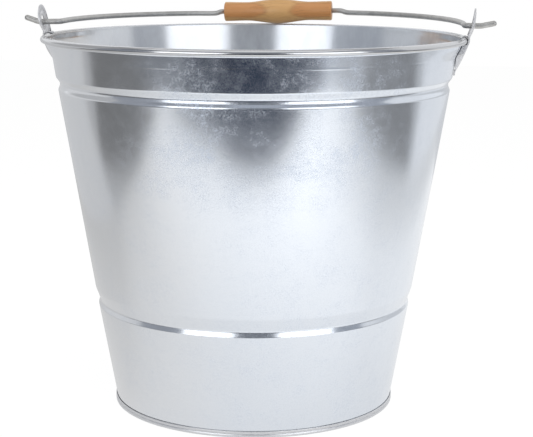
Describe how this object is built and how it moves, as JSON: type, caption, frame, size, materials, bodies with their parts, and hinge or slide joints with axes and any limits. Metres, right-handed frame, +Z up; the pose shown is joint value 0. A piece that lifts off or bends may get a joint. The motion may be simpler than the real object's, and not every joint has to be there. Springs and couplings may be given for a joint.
{
  "type": "coal bucket",
  "caption": "Tapered round galvanised sheet-metal bucket with a rolled wired rim, swaged bands, seamed foot, two ears and a swinging wire bail with a turned wooden grip.",
  "frame": {"origin": "on the floor, at the centre of the foot seam", "axes": "+Z up the bucket's axis; +X through the right ear, along the bail's hinge axis; +Y to the back, where the bail lies on the rim"},
  "size_m": [0.3423, 0.3096, 0.2884],
  "materials": {
    "galvanised_sheet": "satin galvanised sheet with faint spangle and soft mottling",
    "galvanised_base": "satin galvanised sheet, duller at the foot seam",
    "galvanised_ear": "satin galvanised pressing",
    "galvanised_wire": "satin galvanised wire",
    "turned_wood": "clear varnished hardwood with fine grain"
  },
  "bodies": {
    "bucket": {"body_wall": "galvanised_sheet", "rim_wire": "galvanised_wire", "base_pan": "galvanised_base", "ear_right": "galvanised_ear", "ear_left": "galvanised_ear"},
    "bail": {"bail_wire": "galvanised_wire"},
    "grip": {"grip": "turned_wood"}
  },
  "joints": [
    {"name": "bail_swing", "type": "hinge", "parent": "bucket", "child": "bail", "pos_m": [0, 0, 0.2761], "axis": [1, 0, 0], "range_deg": [0, 178.3]},
    {"name": "grip_spin", "type": "hinge", "parent": "bail", "child": "grip", "pos_m": [0.0005, 0.14709, 0.27815], "axis": [0.9998, -0.0002, 0.0175], "continuous": true}
  ]
}
